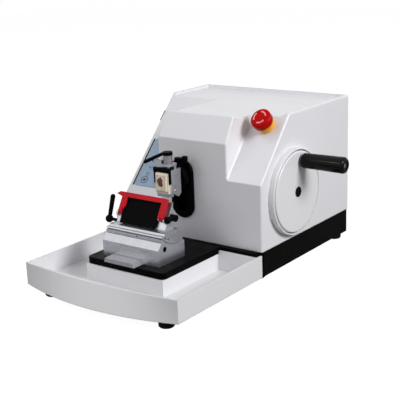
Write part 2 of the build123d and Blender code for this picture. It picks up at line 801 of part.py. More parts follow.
def clamp_lever():
    x = centre_x + clamp_screw_x
    z = clamp_hub_high - 1
    end = (x - clamp_handle_reach, clamp_screw_y, z - clamp_handle_drop)
    bar = taper_bar((x - clamp_hub_radius + 1, clamp_screw_y, z), end, 3.0, 3.6)
    cap = rod_z(x, clamp_screw_y, clamp_hub_radius + 1, clamp_hub_high - 4, clamp_hub_high + 2.5)
    cap = fillet(cap.edges().group_by(Axis.Z)[-1], 1.2)
    return bar + cap - rod_z(x, clamp_screw_y, clamp_hub_radius, 100, clamp_hub_high)


def lock_lever():
    x = centre_x + lock_x
    hub = rod_z(x, lock_y, 6.5, lock_z - 3.5, lock_z + 4)
    bar = block(x, x + lock_reach, lock_y - 3.2, lock_y + 3.2, lock_z - 3, lock_z + 3)
    knob = rod_z(x + lock_reach, lock_y, 6, lock_z - 3.7, lock_z + lock_knob)
    knob = fillet(knob.edges(), 2)
    return hub + bar + knob - rod_z(x, lock_y, 4 + running_gap, lock_z - 5, lock_z + 2.3)


# Knife holder: tapered rail, base with cradle, tilting segment, lateral slide
def rail_profile(gap, height):
    low = -1 if gap else 0
    half = rail_width / 2 + gap
    x = centre_x + rail_offset
    low_half = half - low * rail_flare / rail_height
    high_half = half - height * rail_flare / rail_height
    points = [(x - low_half, low), (x + low_half, low), (x + high_half, height), (x - high_half, height)]
    return Plane.XZ * make_face(Polyline(*points, close=True))


def holder_rail():
    return Pos(0, rail_front, 0) * extrude(rail_profile(0, rail_height), rail_front - rail_rear)


def holder_base():
    cradle_low = tilt_z - cradle_radius
    drop = math.sqrt(cradle_radius ** 2 - (tilt_z - strip_top_z) ** 2)
    rear_z = tilt_z - math.sqrt(cradle_radius ** 2 - (holder_rear - tilt_y) ** 2)
    start = (tilt_y - drop, strip_top_z)
    groove_z = holder_top_z + strip_groove
    outline = Polyline((holder_rear, rear_z), (holder_rear, seat_gap), (holder_front, seat_gap),
                       (holder_front, holder_face), (holder_top_y, holder_top_z),
                       (holder_top_y + 3, holder_top_z), (holder_top_y + 3, groove_z),
                       (holder_top_y + 1, groove_z), (holder_top_y + 1, strip_top_z), start)
    arc = ThreePointArc(start, (tilt_y, cradle_low), (holder_rear, rear_z))
    half = holder_width / 2
    body = Pos(centre_x - half, 0, 0) * extrude(Plane.YZ * make_face([*outline.edges(), arc]), holder_width)
    body = chamfer(cradle_rims(body), 0.6)
    groove = Pos(0, holder_front - 40, 0) * extrude(rail_profile(0.3, rail_height + 0.3), -200)
    body -= groove
    body -= rod_y(centre_x + 8, (groove_z + strip_top_z) / 2, 1.6, holder_top_y - 1, holder_top_y + 2.2)
    return body - rod_x(bolt_y, bolt_z, bolt_radius + running_gap, centre_x + half - 40, centre_x + half + 5)


def cradle_rims(body):
    """The two end edges of a cradle surface."""
    return body.edges().filter_by(GeomType.CIRCLE).filter_by(lambda e: e.radius > cradle_radius - 1)


def holder_bolt():
    end = centre_x + holder_width / 2
    bolt = rod_x(bolt_y, bolt_z, bolt_radius, end - 38, end - 0.5)
    return bolt - Pos(end, bolt_y, bolt_z) * Rot(0, 90, 0) * extrude(RegularPolygon(3, 6), 6, both=True)


slide_low_y, slide_low_z = -148.5, 53.6
slide_high_y, slide_high_z = -98.0, 54.5
slide_thickness = 2.6
slide_depth = 5.0
slide_key = 22.0


def tilt_segment():
    radius = cradle_radius - seat_gap
    front_y, rear_y = segment_front, segment_rear
    front_z = tilt_z - math.sqrt(radius ** 2 - (front_y - tilt_y) ** 2)
    rear_z = tilt_z - math.sqrt(radius ** 2 - (rear_y - tilt_y) ** 2)
    outline = Polyline((rear_y, rear_z), (rear_y - 3, rear_z + 17), (slide_high_y, slide_high_z),
                       (slide_low_y, slide_low_z), (front_y, front_z))
    arc = ThreePointArc((front_y, front_z), (tilt_y, tilt_z - radius), (rear_y, rear_z))
    face = Plane.YZ * make_face([*outline.edges(), arc])
    body = Pos(centre_x - holder_width / 2, 0, 0) * extrude(face, holder_width)
    body = chamfer(cradle_rims(body), 0.6)
    end = centre_x + holder_width / 2
    for y, z in ((-139, 48.5), (-131.5, 45)):
        body -= rod_x(y, z, 1.6, end - 2, end + 1)
    return body - slide_ridge(0.3, 0.3)


# The key under the lateral slide, cut from the segment with a gap and added to the slide
def slide_ridge(gap, over):
    mid = (slide_low_y + slide_high_y) / 2
    rise = (slide_high_z - slide_low_z) / (slide_high_y - slide_low_y)
    top = slide_low_z + rise * (mid - slide_low_y) + 1.5
    key = side_profile([(mid - slide_key + 4 - gap, top), (mid - slide_key - gap, top - slide_depth - gap),
                        (mid + slide_key + gap, top - slide_depth - gap),
                        (mid + slide_key - 4 + gap, top)], -holder_width - over, over)
    return Pos(centre_x + holder_width / 2, 0, 0) * key


blade_lean = math.radians(blade_angle)
down = (-math.cos(blade_lean), -math.sin(blade_lean))
out = (-math.sin(blade_lean), math.cos(blade_lean))


# A point in (Y, Z) that lies s below the cutting edge and n in front of the blade's face
def on_blade(s, n):
    return (edge_y + s * down[0] + n * out[0], edge_z + s * down[1] + n * out[1])


def blade_prism(points, x0, x1):
    return side_profile([on_blade(s, n) for s, n in points], x0, x1)


pin_y, pin_z = on_blade(pin_s, pin_n)
plate_half = plate_length / 2


def lateral_slide():
    half = holder_width / 2
    low_y, high_y = slide_low_y + 6, slide_high_y - 1
    rise = (slide_high_z - slide_low_z) / (slide_high_y - slide_low_y)
    low_z = slide_low_z + rise * (low_y - slide_low_y) + 0.2
    high_z = slide_low_z + rise * (high_y - slide_low_y) + 0.2
    body = side_profile([(low_y, low_z), (low_y + 2, low_z + slide_thickness),
                         (high_y - 1, high_z + slide_thickness), (high_y, high_z)],
                        centre_x - half, centre_x + half)
    body += slide_ridge(0, 0)
    toe_y, toe_z = on_blade(plate_reach - 2, 0)
    wedge = [(edge_y - 0.6, edge_z - 1.5), on_blade(1.9, 0), (toe_y, toe_z), (toe_y, high_z), (edge_y - 3, high_z)]
    body += side_profile(wedge, slide_left, slide_right)
    for x0 in (slide_left, slide_right - lug_width):
        lug = rod_x(pin_y, pin_z, 5.5, x0, x0 + lug_width)
        lug += blade_prism([(pin_s - 5.5, -2), (pin_s + 5.5, -2), (pin_s + 5.5, pin_n),
                            (pin_s - 5.5, pin_n)], x0, x0 + lug_width)
        body += lug
    body += rod_x(pin_y, pin_z, pin_radius, slide_left + 1, slide_right - 1)
    bore = lever_shaft_radius + running_gap
    body -= rod_x(left_lever_y, left_lever_z, bore, slide_left - 5, slide_left + 14)
    return body - rod_x(right_lever_y, right_lever_z, bore, slide_right - 14, slide_right + 5)


def blade():
    half = blade_length / 2
    return blade_prism([(0, 0.01), (blade_width, 0.01), (blade_width, 0.01 + blade_thickness),
                        (0.6, 0.01 + blade_thickness), (0, 0.06)], clamp_x - half, clamp_x + half)


def pressure_plate():
    outline = [(1.9, 0.4), (pin_s - 9, 0.4), (pin_s, 0.9), (plate_reach, 2.0), (plate_reach, 6.2),
               (pin_s, 6.2), (11, 5.2), (1.9, 1.0)]
    plate = blade_prism(outline, clamp_x - plate_half, clamp_x + plate_half)
    return plate - rod_x(pin_y, pin_z, pin_radius + running_gap, clamp_x - 90, clamp_x + 90)


def knife_guard():
    """A flat frame over the plate, hung on two eyes that turn on the hinge pin."""
    left, right = -guard_left, guard_right
    low = pin_s - 1.5
    outline = Polyline((right, 1), (right, -low), (right - guard_leg, -low), (right - guard_leg, -guard_bar),
                       (left + guard_leg, -guard_bar), (left + guard_leg, guard_relief - pin_s),
                       (left + ear_width, guard_relief - 3 - pin_s), (left + ear_width, -low), (left, -low),
                       (left, -guard_bar), (left - guard_tab, -guard_bar * 0.5),
                       (left - guard_tab + guard_bar, 1), close=True)
    y, z = on_blade(0, guard_lift)
    face = Plane(origin=(clamp_x, y, z), x_dir=(1, 0, 0), z_dir=(0, *out))
    frame = extrude(face * make_face(outline), guard_thickness)
    high_n = guard_lift + guard_thickness
    for x0 in (clamp_x + left, clamp_x + right - guard_leg + 1):
        ear = blade_prism([(pin_s - 9, 1.2), (low, 1.2), (low, high_n), (pin_s - 9, high_n)], x0, x0 + ear_width)
        ear += blade_prism([(low - 1, 0.6), (pin_s, 0.6), (pin_s, pin_n + ear_radius), (low - 1, pin_n + ear_radius)],
                           x0, x0 + ear_width)
        frame += ear + rod_x(pin_y, pin_z, ear_radius, x0, x0 + ear_width)
    return frame - rod_x(pin_y, pin_z, pin_radius + running_gap, slide_left - 20, slide_right + 20)


def left_lever():
    x = left_lever_x
    root = (x, left_lever_y, left_lever_z)
    tip = (x, left_lever_y + left_lever_lean, left_lever_z + left_lever_rise)
    bar = Pos(*root) * Sphere(7.5) + taper_bar(root, tip, 3.8, 4.6)
    return bar + rod_x(left_lever_y, left_lever_z, lever_shaft_radius, x, slide_left + 12)


def right_lever():
    x = right_lever_x
    hub = rod_x(right_lever_y, right_lever_z, 6.5, slide_right + 0.4, x + 4)
    end = (x, right_lever_y - right_lever_reach, right_lever_z + 1)
    bar = taper_bar((x, right_lever_y, right_lever_z), end, 3.8, 4.2) + Pos(*end) * Sphere(right_knob_radius)
    return hub + bar + rod_x(right_lever_y, right_lever_z, lever_shaft_radius, slide_right - 12, slide_right + 2)


# Controls on the sloping bays
def control_panel():
    sheet = panel_frame * block(-panel_width / 2, panel_width / 2, -panel_length / 2, panel_length / 2,
                                0, panel_thickness)
    sheet = fillet(sheet.edges(), 0.8)
    window = panel_frame * block(-8, panel_width / 2 - 10, 18, panel_length / 2 - 10,
                                 panel_thickness - 0.8, panel_thickness + 1)
    sheet -= window
    for row in range(4):
        for column in range(3):
            spot = Pos(-panel_width / 2 + 20 + column * 28, -panel_length / 2 + 14 + row * 15,
                       panel_thickness)
            sheet += panel_frame * spot * Cylinder(5, 1.2)
    return sheet


def rocker_bezel():
    half_w, half_l = rocker_width / 2 + 2.5, rocker_length / 2 + 2.5
    rim = rocker_frame * block(-half_w, half_w, -half_l, half_l, 0, 2.5)
    rim = chamfer(rim.edges().filter_by(lambda e: e.length > 10).group_by(SortBy.LENGTH)[-1], 0.5)
    half_w, half_l = rocker_width / 2, rocker_length / 2
    rim += rocker_frame * block(-half_w, half_w, -half_l, half_l, -22, 1)
    return rim - rocker_frame * block(-half_w + 1.5, half_w - 1.5, -half_l + 1.5, half_l - 1.5, -14, 5)


def power_rocker():
    half_w, half_l = rocker_width / 2 - 1.8, rocker_length / 2 - 2.6
    outline = make_face(Polyline((-half_l, -2), (-half_l, rocker_high - 3), (0, 2), (half_l, rocker_high),
                                 (half_l - 1, -2), close=True))
    bar = extrude(Plane.YZ * outline, half_w, both=True)
    return rocker_frame * (bar + Pos(0, 0, -2) * Rot(0, 90, 0) * Cylinder(3, 2 * half_w))


def estop_collar():
    ring = estop_frame * Pos(0, 0, estop_collar_height / 2) * Cylinder(estop_collar_radius, estop_collar_height)
    ring = fillet(ring.edges().sort_by(Axis.Z)[-1], 1)
    ring += estop_frame * Pos(0, 0, -6) * Cylinder(11, 14)
    return ring - estop_frame * Cylinder(5 + running_gap, 60)


def estop_stem():
    top = estop_collar_height + estop_gap + estop_head_height - 4
    return estop_frame * Pos(0, 0, (top - 18) / 2) * Cylinder(5, top + 18)


def estop_head():
    low = estop_collar_height + estop_gap
    high = low + estop_head_height
    r = estop_head_radius
    outline = make_face([*Polyline((0, high), (0, low), (r - 3, low), (r, low + 3), (r, high - 4)).edges(),
                         ThreePointArc((r, high - 4), (r - 3.5, high - 1), (r - 9, high)),
                         Line((r - 9, high), (0, high))])
    head = revolve(Plane.XZ * outline, Axis.Z)
    return estop_frame * (head - Pos(0, 0, low - 1) * Cylinder(5 + running_gap, 2 * (estop_head_height - 4) + 2))


def contact_block():
    body = estop_frame * block(-11, 11, -16, 16, -48, -14)
    return body - estop_frame * Pos(0, 0, -14) * Cylinder(6, 16)


def rear_panel():
    half = rear_panel_width / 2
    y0 = housing_depth
    sheet = block(centre_x - half, centre_x + half, y0, y0 + rear_panel_thickness, 10, 10 + rear_panel_height)
    sheet = rounded(sheet, 5, Axis.Y)
    sheet -= block(*inlet_span(0.3), y0 - 5, y0 + 5, 40, 68)
    for row in range(5):
        z = 34 + row * 9
        sheet -= block(centre_x - 5, centre_x + half - 18, y0 - 5, y0 + 5, z, z + 3.5)
    for x, z in panel_screw_places():
        sheet -= rod_y(x, z, 1.6, y0 - 5, y0 + 5)
    return sheet


def inlet_span(grow):
    return centre_x - inlet_left - grow, centre_x - inlet_left + inlet_width + grow


def mains_inlet():
    y0 = housing_depth + rear_panel_thickness
    x0, x1 = inlet_span(0)
    body = block(x0, x1, y0 - 30, y0, 40.3, 67.7)
    flange = block(x0 - 3, x1 + 3, y0, y0 + inlet_proud, 36, 72)
    flange = rounded(flange, 3, Axis.Y)
    body += flange
    body -= rounded(block(x0 + 4, x0 + 28, y0 - 16, y0 + 10, 44, 62), 2, Axis.Y)
    pins = [block(x0 + 16 + dx - 1, x0 + 16 + dx + 1, y0 - 17, y0 - 3, 53 + dz - 2, 53 + dz + 2)
            for dx, dz in ((-7, -1.5), (0, 2.5), (7, -1.5))]
    for pin in pins:
        body += pin
    drawer = block(x0 + 32, x1 - 3, y0 + inlet_proud - 1, y0 + inlet_proud + 1, 44, 64)
    return body - drawer


def power_supply():
    x0, y1 = -body_width + 20, housing_depth - housing_wall - 9
    y0 = y1 - supply_depth
    case = block(x0, x0 + supply_length, y0, y1, 0, supply_height)
    for row in range(6):
        start = x0 + 12 + row * 15
        case -= block(start, start + 6, y0 + 8, y1 - 8, supply_height - 2, supply_height + 1)
    return case


def control_board():
    x0, y0 = -body_width + 14, board_y
    x1, y1 = centre_x - frame_half - 6 - bearing_clearance, board_y + board_depth
    board = block(x0, x1, y0, y1, 8, 9.6)
    for x in (x0 + 6, x1 - 6):
        for y in (y0 + 6, y1 - 6):
            board += rod_z(x, y, 3, 0, 8.5)
    board += block(x0 + 14, x0 + 40, y0 + 20, y0 + 46, 9, 13)
    board += block(x1 - 42, x1 - 14, y0 + 12, y0 + 24, 9, 20)
    return board + block(x1 - 42, x1 - 14, y0 + 50, y0 + 72, 9, 22)


def machine_screws():
    y = housing_depth + rear_panel_thickness
    return [rod_y(x, z, 3.2, y, y + 2) + rod_y(x, z, 1.6, y - 10, y + 1) for x, z in panel_screw_places()]


save("base_casting", base_casting())
save("bottom_plate", bottom_plate())
save("base_feet", *[foot(x, y, -base_height) for x, y in foot_places()])
save("knife_plate", knife_plate())
save("waste_tray", waste_tray())
save("tray_feet", *tray_feet())
save("housing_cover", housing_cover())
save("slot_bezel", slot_bezel())
save("slot_shutter", slot_shutter())
save("mechanism_frame", mechanism_frame())
save("guide_rails", *guide_rails())
save("carriage", carriage())
save("feed_motor", feed_motor())
save("feed_screw", feed_screw())
save("arm", arm())
save("main_shaft", main_shaft())
save("crank_disc", crank_disc())
save("crank_roller", crank_roller())
save("drive_bracket", drive_bracket())
save("shaft_bearings", *shaft_bearings())
save("drive_motor", drive_motor())
save("motor_pulley", motor_pulley())
save("drive_belt", drive_belt())
save("handwheel", handwheel())
save("hub_cap", hub_cap())
save("wheel_ring", wheel_ring())
save("grip_axle", grip_axle())
save("grip", grip())
save("head_socket", head_socket())
save("gimbal_block", gimbal_block())
save("clamp_body", clamp_body())
save("cassette", cassette())
save("wax_block", wax_block())
save("clamp_jaw", clamp_jaw())
save("clamp_screw", clamp_screw())
save("clamp_lever", clamp_lever())
save("lock_lever", lock_lever())
save("holder_rail", holder_rail())
save("holder_base", holder_base())
save("holder_bolt", holder_bolt())
save("tilt_segment", tilt_segment())
save("lateral_slide", lateral_slide())
save("blade", blade())
save("pressure_plate", pressure_plate())
save("knife_guard", knife_guard())
save("left_lever", left_lever())
save("right_lever", right_lever())
save("control_panel", control_panel())
save("rocker_bezel", rocker_bezel())
save("power_rocker", power_rocker())
save("estop_collar", estop_collar())
save("estop_stem", estop_stem())
save("estop_head", estop_head())
save("contact_block", contact_block())
save("rear_panel", rear_panel())
save("mains_inlet", mains_inlet())
save("power_supply", power_supply())
save("control_board", control_board())
save("machine_screws", *machine_screws())
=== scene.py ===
import bpy
import json
import math
import random
from mathutils import Matrix, Vector


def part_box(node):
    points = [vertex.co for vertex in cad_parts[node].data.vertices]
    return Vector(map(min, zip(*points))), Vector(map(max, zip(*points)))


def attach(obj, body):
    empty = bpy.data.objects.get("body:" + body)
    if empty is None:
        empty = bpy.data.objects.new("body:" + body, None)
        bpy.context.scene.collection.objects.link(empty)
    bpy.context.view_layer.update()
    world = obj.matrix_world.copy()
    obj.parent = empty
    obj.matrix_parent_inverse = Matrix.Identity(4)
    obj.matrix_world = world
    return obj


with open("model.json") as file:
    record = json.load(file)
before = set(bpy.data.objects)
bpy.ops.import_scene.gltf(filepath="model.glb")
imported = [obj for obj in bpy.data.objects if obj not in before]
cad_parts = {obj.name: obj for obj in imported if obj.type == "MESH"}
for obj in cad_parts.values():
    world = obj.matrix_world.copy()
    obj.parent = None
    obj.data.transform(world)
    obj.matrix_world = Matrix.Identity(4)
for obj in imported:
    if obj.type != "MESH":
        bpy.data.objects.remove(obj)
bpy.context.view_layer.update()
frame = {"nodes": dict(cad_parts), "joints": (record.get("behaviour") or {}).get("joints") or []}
nodes = frame["nodes"]

# Places are given in millimetres from the corner where the housing's right face,
# its front face and the top of the base meet. The operator stands at -Y.
coverLow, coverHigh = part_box("housing_cover")
cornerPoint = Vector((coverHigh.x, coverLow.y, coverLow.z))


def place(x, y, z):
    return cornerPoint + Vector((x, y, z)) / 1000


# Values that the finishes share; sizes are in metres
darkest = 0.05
darkSpecular = 0.03
bumpShare = 0.3
paintCoatRoughness = 0.12
plasticCoatRoughness = 0.08
smudgeShare = 0.3
handledSize = 0.03
handledShade = 0.86
stainSize = 0.018
toolLineDepth = 0.0001
chipSize = 0.004
smudgeSize = 0.02
chipKeep = (0.45, 0.62)
wornDot = (0.86, 0.99)
bevelSamples = 4


# Shader pieces that the finishes share
def newShader(name, colour, roughness, metallic=0.0):
    material = bpy.data.materials.new(name)
    material.use_nodes = True
    shader = material.node_tree.nodes["Principled BSDF"]
    shader.inputs["Base Color"].default_value = (*colour, 1)
    shader.inputs["Roughness"].default_value = roughness
    shader.inputs["Metallic"].default_value = metallic
    if max(colour) < darkest:
        shader.inputs["Specular IOR Level"].default_value = darkSpecular
    return material, shader


def noiseOf(material, size, detail=3.0, stretch=(1, 1, 1)):
    tree = material.node_tree
    where = tree.nodes.new("ShaderNodeTexCoord")
    spread = tree.nodes.new("ShaderNodeMapping")
    spread.inputs["Scale"].default_value = stretch
    noise = tree.nodes.new("ShaderNodeTexNoise")
    noise.inputs["Scale"].default_value = 1 / size
    noise.inputs["Detail"].default_value = detail
    tree.links.new(where.outputs["Object"], spread.inputs["Vector"])
    tree.links.new(spread.outputs["Vector"], noise.inputs["Vector"])
    return noise


def remap(material, source, low, high, fromLow=0.3, fromHigh=0.7):
    ramp = material.node_tree.nodes.new("ShaderNodeMapRange")
    ramp.inputs["From Min"].default_value = fromLow
    ramp.inputs["From Max"].default_value = fromHigh
    ramp.inputs["To Min"].default_value = low
    ramp.inputs["To Max"].default_value = high
    material.node_tree.links.new(source, ramp.inputs["Value"])
    return ramp.outputs["Result"]


def tint(material, factor, colourA, colourB):
    mix = material.node_tree.nodes.new("ShaderNodeMix")
    mix.data_type = "RGBA"
    mix.inputs["A"].default_value = (*colourA, 1)
    mix.inputs["B"].default_value = (*colourB, 1)
    material.node_tree.links.new(factor, mix.inputs["Factor"])
    return mix.outputs["Result"]


def shade(colour, factor):
    return tuple(min(1.0, c * factor) for c in colour)


def roundEdges(material, radius):
    bevel = material.node_tree.nodes.new("ShaderNodeBevel")
    bevel.samples = bevelSamples
    bevel.inputs["Radius"].default_value = radius
    return bevel.outputs["Normal"]


def bumpFrom(material, shader, source, strength, depth, edge=0.0):
    tree = material.node_tree
    bump = tree.nodes.new("ShaderNodeBump")
    bump.inputs["Strength"].default_value = strength
    bump.inputs["Distance"].default_value = depth
    tree.links.new(source, bump.inputs["Height"])
    if edge:
        tree.links.new(roundEdges(material, edge), bump.inputs["Normal"])
    tree.links.new(bump.outputs["Normal"], shader.inputs["Normal"])
    return bump


# How far a surface lies from an edge, 0 on a flat and 1 at a worn corner
def edgeWear(material, radius):
    tree = material.node_tree
    geometry = tree.nodes.new("ShaderNodeNewGeometry")
    dot = tree.nodes.new("ShaderNodeVectorMath")
    dot.operation = "DOT_PRODUCT"
    tree.links.new(geometry.outputs["Normal"], dot.inputs[0])
    tree.links.new(roundEdges(material, radius), dot.inputs[1])
    return remap(material, dot.outputs["Value"], 1.0, 0.0, *wornDot)


# Powder or wet paint: cloudy tone, orange-peel skin, soft edges
def paintFinish(name, look):
    material, shader = newShader(name, look["colour"], look["roughness"])
    cloud = noiseOf(material, look["cloudSize"], 4)
    tone = remap(material, cloud.outputs["Fac"], 0, 1)
    shader.inputs["Coat Weight"].default_value = look["coat"]
    shader.inputs["Coat Roughness"].default_value = paintCoatRoughness
    colour = tint(material, tone, look["colour"], shade(look["colour"], look["cloudShade"]))
    material.node_tree.links.new(colour, shader.inputs["Base Color"])
    smudge = noiseOf(material, look["cloudSize"] * smudgeShare, 5)
    rough = remap(material, smudge.outputs["Fac"], look["roughness"] - 0.05, look["roughness"] + 0.08)
    material.node_tree.links.new(rough, shader.inputs["Roughness"])
    peel = noiseOf(material, look["grainSize"], 2)
    depth = look["grainSize"] * bumpShare
    bumpFrom(material, shader, peel.outputs["Fac"], look["grain"], depth, look["edge"])
    return material


# Moulded plastic: fine spark texture, a little sheen where hands polish it
def plasticFinish(name, look):
    material, shader = newShader(name, look["colour"], look["roughness"])
    spark = noiseOf(material, look["grainSize"], 3)
    handled = noiseOf(material, handledSize, 3)
    rough = remap(material, handled.outputs["Fac"], look["roughness"] * 0.8, look["roughness"] * 1.25)
    material.node_tree.links.new(rough, shader.inputs["Roughness"])
    tone = remap(material, handled.outputs["Fac"], 0, 1)
    colour = tint(material, tone, look["colour"], shade(look["colour"], handledShade))
    material.node_tree.links.new(colour, shader.inputs["Base Color"])
    shader.inputs["Coat Weight"].default_value = look.get("coat", 0.0)
    shader.inputs["Coat Roughness"].default_value = plasticCoatRoughness
    if "specular" in look:
        shader.inputs["Specular IOR Level"].default_value = look["specular"]
    depth = look["grainSize"] * bumpShare
    bumpFrom(material, shader, spark.outputs["Fac"], look["grain"], depth, look["edge"])
    return material


# Machined metal: tool lines along one direction, stains and brighter edges
def metalFinish(name, look):
    material, shader = newShader(name, look["colour"], look["roughness"], 1.0)
    lines = noiseOf(material, look["grainSize"], 2, look["lines"])
    stain = noiseOf(material, stainSize, 4)
    rough = remap(material, lines.outputs["Fac"], look["roughness"] - 0.07, look["roughness"] + 0.1)
    material.node_tree.links.new(rough, shader.inputs["Roughness"])
    tone = remap(material, stain.outputs["Fac"], 0, 1)
    colour = tint(material, tone, look["colour"], shade(look["colour"], look["stain"]))
    material.node_tree.links.new(colour, shader.inputs["Base Color"])
    bumpFrom(material, shader, lines.outputs["Fac"], look["grain"], toolLineDepth, look["edge"])
    return material


# Anodised or painted black parts whose edges have rubbed bright
def blackenedFinish(name, look):
    material, shader = newShader(name, look["colour"], look["roughness"])
    tree = material.node_tree
    chips = noiseOf(material, chipSize, 5)
    keep = remap(material, chips.outputs["Fac"], 0.0, 1.0, *chipKeep)
    worn = tree.nodes.new("ShaderNodeMath")
    worn.operation = "MULTIPLY"
    tree.links.new(edgeWear(material, look["wearRadius"]), worn.inputs[0])
    tree.links.new(keep, worn.inputs[1])
    colour = tint(material, worn.outputs["Value"], look["colour"], look["bare"])
    tree.links.new(colour, shader.inputs["Base Color"])
    smudge = noiseOf(material, smudgeSize, 4)
    rough = remap(material, smudge.outputs["Fac"], look["roughness"] - 0.06, look["roughness"] + 0.08)
    tree.links.new(rough, shader.inputs["Roughness"])
    grain = noiseOf(material, look["grainSize"], 2)
    depth = look["grainSize"] * bumpShare
    bumpFrom(material, shader, grain.outputs["Fac"], look["grain"], depth, look["edge"])
    return material


paints = {
    "housingWhite": {"colour": (0.80, 0.80, 0.83), "roughness": 0.34, "coat": 0.25, "cloudSize": 0.22,
                     "cloudShade": 0.975, "grainSize": 0.0011, "grain": 0.10, "edge": 0.003},
    "wheelWhite": {"colour": (0.80, 0.80, 0.82), "roughness": 0.33, "coat": 0.3, "cloudSize": 0.12,
                   "cloudShade": 0.975, "grainSize": 0.001, "grain": 0.08, "edge": 0.0015},
    "trayWhite": {"colour": (0.80, 0.80, 0.82), "roughness": 0.36, "coat": 0.25, "cloudSize": 0.15,
                  "cloudShade": 0.97, "grainSize": 0.0012, "grain": 0.10, "edge": 0.0018},
    "baseBlack": {"colour": (0.001, 0.001, 0.0012), "roughness": 0.5, "coat": 0.0, "cloudSize": 0.1,
                  "cloudShade": 1.4, "grainSize": 0.0008, "grain": 0.35, "edge": 0.0012},
    "castGrey": {"colour": (0.18, 0.19, 0.20), "roughness": 0.55, "coat": 0.0, "cloudSize": 0.05,
                 "cloudShade": 0.8, "grainSize": 0.0015, "grain": 0.5, "edge": 0.001},
}
blackened = {
    "plateBlack": {"colour": (0.001, 0.001, 0.0012), "bare": (0.05, 0.05, 0.055), "roughness": 0.4,
                   "wearRadius": 0.0006, "grainSize": 0.0006, "grain": 0.15, "edge": 0.0008},
    "toolBlack": {"colour": (0.0015, 0.0015, 0.002), "bare": (0.12, 0.12, 0.13), "roughness": 0.38,
                  "wearRadius": 0.0004, "grainSize": 0.0005, "grain": 0.15, "edge": 0.0006},
}
plastics = {
    "blackPlastic": {"colour": (0.0015, 0.0015, 0.0018), "roughness": 0.36, "grainSize": 0.0005,
                     "grain": 0.12, "edge": 0.0007},
    "gripGloss": {"colour": (0.003, 0.003, 0.0035), "roughness": 0.2, "grainSize": 0.002,
                  "grain": 0.04, "edge": 0.001, "coat": 0.2},
    "panelBlue": {"colour": (0.36, 0.48, 0.64), "roughness": 0.4, "grainSize": 0.0006,
                  "grain": 0.08, "edge": 0.0006},
    "guardRed": {"colour": (0.58, 0.002, 0.010), "roughness": 0.42, "grainSize": 0.001,
                 "grain": 0.06, "edge": 0.001, "coat": 0.08, "specular": 0.15},
    "stopRed": {"colour": (0.52, 0.001, 0.002), "roughness": 0.34, "grainSize": 0.001,
                "grain": 0.05, "edge": 0.0008, "coat": 0.03, "specular": 0.06},
    "stopYellow": {"colour": (0.88, 0.42, 0.03), "roughness": 0.35, "grainSize": 0.001,
                   "grain": 0.06, "edge": 0.0006},
    "arrowPale": {"colour": (0.85, 0.34, 0.32), "roughness": 0.45, "grainSize": 0.0008,
                  "grain": 0.06, "edge": 0.0001},
    "cassetteIvory": {"colour": (0.80, 0.73, 0.58), "roughness": 0.5, "grainSize": 0.0006,
                      "grain": 0.15, "edge": 0.0004},
    "footRubber": {"colour": (0.012, 0.012, 0.012), "roughness": 0.75, "grainSize": 0.0007,
                   "grain": 0.4, "edge": 0.0008},
    "beltRubber": {"colour": (0.02, 0.02, 0.02), "roughness": 0.8, "grainSize": 0.0006,
                   "grain": 0.4, "edge": 0.0003},
    "displayGlass": {"colour": (0.012, 0.02, 0.03), "roughness": 0.12, "grainSize": 0.004,
                     "grain": 0.02, "edge": 0.0002, "coat": 0.4},
    "keyDark": {"colour": (0.02, 0.05, 0.10), "roughness": 0.4, "grainSize": 0.0006,
                "grain": 0.06, "edge": 0.0002},
    "boardGreen": {"colour": (0.02, 0.14, 0.06), "roughness": 0.35, "grainSize": 0.0008,
                   "grain": 0.1, "edge": 0.0003},
}
metals = {
    "satinAluminium": {"colour": (0.60, 0.61, 0.65), "roughness": 0.31, "grainSize": 0.0007, "grain": 0.1,
                       "lines": (0.06, 1, 1), "stain": 0.93, "edge": 0.0006},
    "groundSteel": {"colour": (0.50, 0.50, 0.52), "roughness": 0.3, "grainSize": 0.0006, "grain": 0.25,
                    "lines": (0.1, 1, 1), "stain": 0.9, "edge": 0.0005},
    "brightSteel": {"colour": (0.68, 0.68, 0.70), "roughness": 0.16, "grainSize": 0.0006, "grain": 0.1,
                    "lines": (1, 0.05, 1), "stain": 0.95, "edge": 0.0004},
    "bladeSteel": {"colour": (0.70, 0.70, 0.72), "roughness": 0.14, "grainSize": 0.0004, "grain": 0.12,
                   "lines": (1, 0.1, 0.1), "stain": 0.96, "edge": 0.0},
    "zincSheet": {"colour": (0.48, 0.49, 0.51), "roughness": 0.42, "grainSize": 0.006, "grain": 0.1,
                  "lines": (1, 1, 1), "stain": 0.82, "edge": 0.0004},
    "mauveSteel": {"colour": (0.42, 0.39, 0.44), "roughness": 0.3, "grainSize": 0.0006, "grain": 0.2,
                   "lines": (1, 1, 0.1), "stain": 0.88, "edge": 0.0005},
}
finishes = {name: paintFinish(name, look) for name, look in paints.items()}
finishes.update({name: blackenedFinish(name, look) for name, look in blackened.items()})
finishes.update({name: plasticFinish(name, look) for name, look in plastics.items()})
finishes.update({name: metalFinish(name, look) for name, look in metals.items()})


wax = {
    "colour": (0.84, 0.79, 0.68),
    "pale": (0.88, 0.84, 0.75),
    "deep": (0.74, 0.66, 0.5),
    "roughness": 0.38,
    "depth": 0.35,
    "reach": (0.004, 0.003, 0.002),
    "cutSize": 0.0009,
    "cutLines": (0.12, 1, 1),
    "cloudSize": 0.006,
    "grain": 0.25,
    "grainDepth": 0.0002,
    "edge": 0.0006,
}
tissueLook = {
    "colour": (0.12, 0.03, 0.015),
    "dark": (0.05, 0.012, 0.008),
    "light": (0.26, 0.08, 0.035),
    "roughness": 0.45,
    "fibreSize": 0.0012,
    "grain": 0.4,
    "grainDepth": 0.0003,
}


